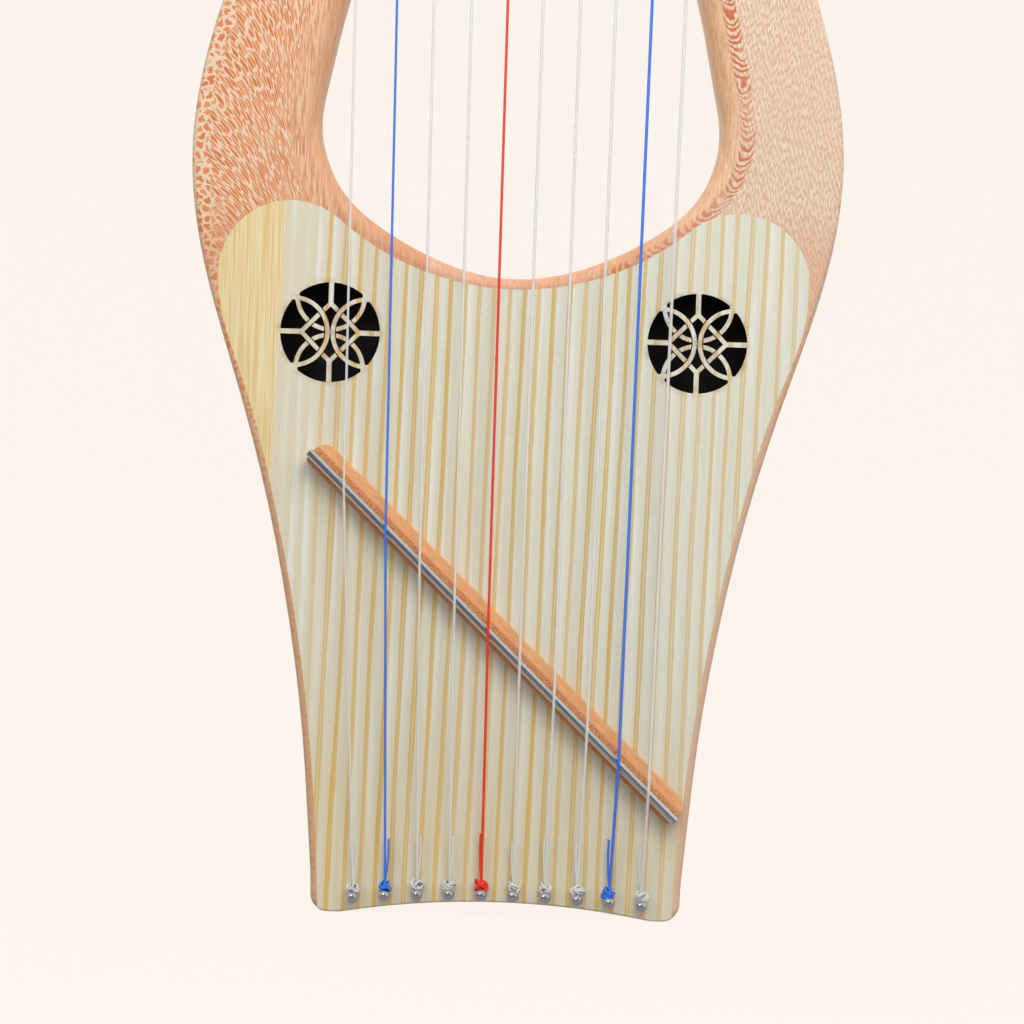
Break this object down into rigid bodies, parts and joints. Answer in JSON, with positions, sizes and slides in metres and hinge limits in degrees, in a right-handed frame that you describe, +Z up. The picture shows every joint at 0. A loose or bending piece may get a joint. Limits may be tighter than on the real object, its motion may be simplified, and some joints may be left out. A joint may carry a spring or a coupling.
{
  "type": "lyre",
  "caption": "Lyre with carved arms, a yoke with tuning pins, a hollow soundbox with knotwork sound holes and a steel rod bridge set across it",
  "frame": {"origin": "on the ground under the middle of the lyre, standing upright on its two feet", "axes": "+Z up along the strings, +X to the right seen from the front, the strings and soundboard face -Y"},
  "size_m": [0.261, 0.056, 0.494],
  "materials": {
    "lacewood_left": "oiled",
    "lacewood_right": "oiled",
    "lacewood_block": "oiled",
    "tail_wood": "oiled",
    "soundboard_ash": "satin lacquer",
    "back_lacewood": "satin lacquer",
    "yoke_lacewood": "oiled",
    "beech": "raw",
    "spruce": "raw",
    "bridge_wood": "oiled",
    "polished_steel": "polished",
    "nickel_steel": "nickel plated",
    "string_clear": "clear nylon",
    "string_blue": "dyed nylon",
    "string_red": "dyed nylon"
  },
  "bodies": {
    "lyre": {"left_arm": "lacewood_left", "right_arm": "lacewood_right", "upper_block": "lacewood_block", "tail_block": "tail_wood", "soundboard": "soundboard_ash", "back_board": "back_lacewood", "yoke": "yoke_lacewood", "yoke_dowels": "beech", "upper_brace": "spruce", "lower_brace": "spruce", "back_brace": "spruce", "bridge_base": "bridge_wood", "bridge_rod": "polished_steel", "hitch_pins": "nickel_steel", "string_01": "string_clear", "string_02": "string_blue", "string_03": "string_clear", "string_04": "string_clear", "string_05": "string_red", "string_06": "string_clear", "string_07": "string_clear", "string_08": "string_clear", "string_09": "string_blue", "string_10": "string_clear"},
    "pin_01": {"tuning_pin_01": "nickel_steel", "string_winding_01": "string_clear"},
    "pin_02": {"tuning_pin_02": "nickel_steel", "string_winding_02": "string_blue"},
    "pin_03": {"tuning_pin_03": "nickel_steel", "string_winding_03": "string_clear"},
    "pin_04": {"tuning_pin_04": "nickel_steel", "string_winding_04": "string_clear"},
    "pin_05": {"tuning_pin_05": "nickel_steel", "string_winding_05": "string_red"},
    "pin_06": {"tuning_pin_06": "nickel_steel", "string_winding_06": "string_clear"},
    "pin_07": {"tuning_pin_07": "nickel_steel", "string_winding_07": "string_clear"},
    "pin_08": {"tuning_pin_08": "nickel_steel", "string_winding_08": "string_clear"},
    "pin_09": {"tuning_pin_09": "nickel_steel", "string_winding_09": "string_blue"},
    "pin_10": {"tuning_pin_10": "nickel_steel", "string_winding_10": "string_clear"}
  },
  "joints": [
    {"name": "pin_01_turn", "type": "hinge", "parent": "lyre", "child": "pin_01", "pos_m": [-0.0705, -0.002, 0.46528], "axis": [0, -1, 0], "range_deg": [-180, 90]},
    {"name": "pin_02_turn", "type": "hinge", "parent": "lyre", "child": "pin_02", "pos_m": [-0.05422, -0.002, 0.46802], "axis": [0, -1, 0], "range_deg": [-180, 90]},
    {"name": "pin_03_turn", "type": "hinge", "parent": "lyre", "child": "pin_03", "pos_m": [-0.03904, -0.002, 0.46994], "axis": [0, -1, 0], "range_deg": [-180, 90]},
    {"name": "pin_04_turn", "type": "hinge", "parent": "lyre", "child": "pin_04", "pos_m": [-0.02365, -0.002, 0.47124], "axis": [0, -1, 0], "range_deg": [-180, 90]},
    {"name": "pin_05_turn", "type": "hinge", "parent": "lyre", "child": "pin_05", "pos_m": [-0.00907, -0.002, 0.47189], "axis": [0, -1, 0], "range_deg": [-180, 90]},
    {"name": "pin_06_turn", "type": "hinge", "parent": "lyre", "child": "pin_06", "pos_m": [0.00551, -0.002, 0.47196], "axis": [0, -1, 0], "range_deg": [-180, 90]},
    {"name": "pin_07_turn", "type": "hinge", "parent": "lyre", "child": "pin_07", "pos_m": [0.0207, -0.002, 0.47142], "axis": [0, -1, 0], "range_deg": [-180, 90]},
    {"name": "pin_08_turn", "type": "hinge", "parent": "lyre", "child": "pin_08", "pos_m": [0.03488, -0.002, 0.47036], "axis": [0, -1, 0], "range_deg": [-180, 90]},
    {"name": "pin_09_turn", "type": "hinge", "parent": "lyre", "child": "pin_09", "pos_m": [0.04966, -0.002, 0.46866], "axis": [0, -1, 0], "range_deg": [-180, 90]},
    {"name": "pin_10_turn", "type": "hinge", "parent": "lyre", "child": "pin_10", "pos_m": [0.06344, -0.002, 0.46655], "axis": [0, -1, 0], "range_deg": [-180, 90]}
  ]
}
